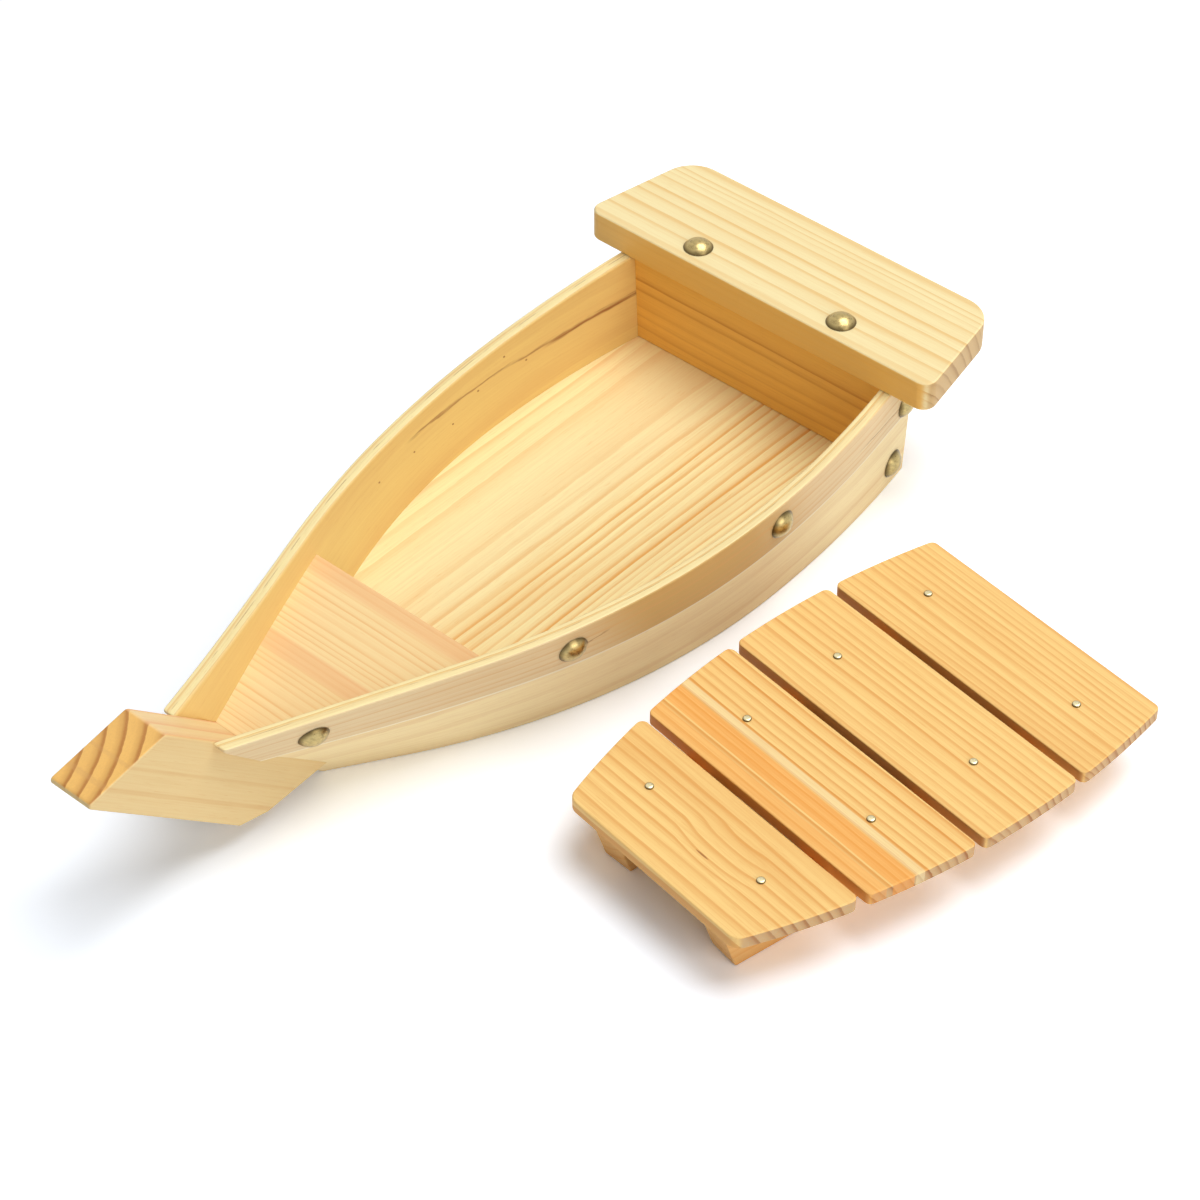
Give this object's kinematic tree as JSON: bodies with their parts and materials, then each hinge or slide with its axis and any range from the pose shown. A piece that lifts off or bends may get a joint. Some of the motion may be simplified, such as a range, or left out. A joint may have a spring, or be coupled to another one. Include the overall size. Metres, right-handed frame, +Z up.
{
  "type": "sushi boat",
  "caption": "Flat-bottomed wooden serving boat with a raked stem, a raised stern platform and a slatted deck that lifts out of the hull.",
  "frame": {"origin": "on the flat underside of the hull, on its centre line, under the widest point of the sides", "axes": "+X towards the bow, +Y to port, +Z up"},
  "size_m": [0.3769, 0.2872, 0.0718],
  "materials": {
    "pine_floor": "planed pine with strong lengthwise grain",
    "pine_frame": "planed pine",
    "pine_deck": "planed pale pine",
    "pine_plank": "planed pine",
    "pine_strake": "planed pine",
    "pine_slats": "planed warm pine",
    "brass_tacks": "polished antique brass",
    "brass_brads": "bright brass"
  },
  "bodies": {
    "hull": {"bottom_board": "pine_floor", "transom": "pine_frame", "stem": "pine_frame", "bow_deck": "pine_deck", "port_plank": "pine_plank", "starboard_plank": "pine_plank", "port_strake": "pine_strake", "starboard_strake": "pine_strake", "stern_platform": "pine_deck", "port_tacks": "brass_tacks", "starboard_tacks": "brass_tacks", "stern_tacks": "brass_tacks", "platform_tacks": "brass_tacks"},
    "slatted_deck": {"fore_slat": "pine_slats", "second_slat": "pine_slats", "third_slat": "pine_slats", "aft_slat": "pine_slats", "port_runner": "pine_slats", "starboard_runner": "pine_slats", "deck_brads": "brass_brads"}
  },
  "joints": [
    {"name": "deck_lift", "type": "slide", "parent": "hull", "child": "slatted_deck", "axis": [0, 0, 1], "range_m": [0, 0.12]}
  ]
}
